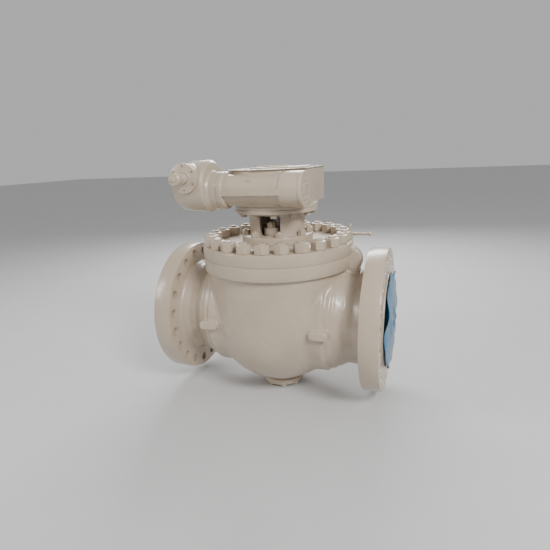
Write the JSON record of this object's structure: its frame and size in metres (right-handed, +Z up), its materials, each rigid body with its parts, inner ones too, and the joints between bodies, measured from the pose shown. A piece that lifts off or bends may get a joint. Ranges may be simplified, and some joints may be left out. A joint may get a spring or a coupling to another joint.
{
  "type": "flanged pipeline valve",
  "caption": "Large flanged quarter-turn pipeline valve with a bolted bonnet, a bracket and a double worm gear operator; the ball, gears, seats and end protectors move.",
  "frame": {"origin": "centre of the flat standing pad under the bottom cover, on the stem axis", "axes": "+Z up along the stem, +X along the pipe towards the end on the right when the gear operator's input shaft faces the viewer, +Y away from the input shaft's end"},
  "size_m": [1.1986, 0.798, 1.202],
  "materials": {
    "paint": "semi-gloss warm grey-beige coat over cast and machined steel",
    "bare_steel": "turned and oiled",
    "chrome_plate": "plated and polished",
    "bronze": "machined",
    "graphite": "pressed graphite, dull",
    "polymer": "smooth seat polymer",
    "blue_plastic": "thin moulded plastic, slightly wavy"
  },
  "bodies": {
    "valve": {"valve_body": "paint", "bonnet": "paint", "bonnet_gasket": "graphite", "bottom_cover": "paint", "bonnet_stud_01": "paint", "bonnet_stud_02": "paint", "bonnet_stud_03": "paint", "bonnet_stud_04": "paint", "bonnet_stud_05": "paint", "bonnet_stud_06": "paint", "bonnet_stud_07": "paint", "bonnet_stud_08": "paint", "bonnet_stud_09": "paint", "bonnet_stud_10": "paint", "bonnet_stud_11": "paint", "bonnet_stud_12": "paint", "bonnet_stud_13": "paint", "bonnet_stud_14": "paint", "bonnet_stud_15": "paint", "bonnet_stud_16": "paint", "bonnet_stud_17": "paint", "bonnet_stud_18": "paint", "bonnet_stud_19": "paint", "bonnet_stud_20": "paint", "bonnet_stud_21": "paint", "bonnet_stud_22": "paint", "bonnet_stud_23": "paint", "bonnet_stud_24": "paint", "stem_bush": "bronze", "lower_trunnion": "bare_steel", "trunnion_bush": "bronze", "seat_spring_right": "bare_steel", "seat_spring_left": "bare_steel", "stem_packing": "graphite", "gland_flange": "paint", "gland_stud_front": "paint", "gland_stud_back": "paint", "bracket": "paint", "gearbox_housing": "paint", "gearbox_cover": "paint", "worm_bearing_left": "bare_steel", "worm_bearing_right": "bare_steel", "worm_end_cap": "paint", "reducer_housing": "paint", "input_cover": "paint", "vent_body": "paint"},
    "ball": {"ball": "chrome_plate", "stem": "bare_steel", "worm_quadrant": "bronze", "position_indicator": "paint"},
    "worm": {"main_worm": "bare_steel", "reducer_wheel": "bronze"},
    "input": {"input_shaft": "bare_steel"},
    "seat_right": {"seat_ring_right": "bare_steel", "seat_insert_right": "polymer"},
    "seat_left": {"seat_ring_left": "bare_steel", "seat_insert_left": "polymer"},
    "protector_right": {"end_protector_right": "blue_plastic"},
    "protector_left": {"end_protector_left": "blue_plastic"},
    "vent_spindle": {"vent_spindle": "bare_steel"}
  },
  "joints": [
    {"name": "ball_turn", "type": "hinge", "parent": "valve", "child": "ball", "pos_m": [0, 0, 0.405], "axis": [0, 0, -1], "range_deg": [0, 90]},
    {"name": "worm_spin", "type": "hinge", "parent": "valve", "child": "worm", "pos_m": [0, -0.2, 1.06], "axis": [1, 0, 0], "range_deg": [0, 4320]},
    {"name": "input_spin", "type": "hinge", "parent": "valve", "child": "input", "pos_m": [-0.325, -0.2, 1.125], "axis": [0, 1, 0], "range_deg": [0, 38880]},
    {"name": "seat_right_float", "type": "slide", "parent": "valve", "child": "seat_right", "axis": [1, 0, 0], "range_m": [0, 0.0015], "stiffness_N_per_m": 20000},
    {"name": "seat_left_float", "type": "slide", "parent": "valve", "child": "seat_left", "axis": [-1, 0, 0], "range_m": [0, 0.0015], "stiffness_N_per_m": 20000},
    {"name": "protector_right_pull", "type": "slide", "parent": "valve", "child": "protector_right", "axis": [1, 0, 0], "range_m": [0, 0.2]},
    {"name": "protector_left_pull", "type": "slide", "parent": "valve", "child": "protector_left", "axis": [-1, 0, 0], "range_m": [0, 0.2]},
    {"name": "vent_turn", "type": "hinge", "parent": "valve", "child": "vent_spindle", "pos_m": [0.356, 0.095, 0.83], "axis": [0, 0, 1], "range_deg": [0, 540]}
  ],
  "couplings": [
    {"joint": "worm_spin", "follows": "ball_turn", "ratio": 48},
    {"joint": "input_spin", "follows": "ball_turn", "ratio": 432}
  ]
}
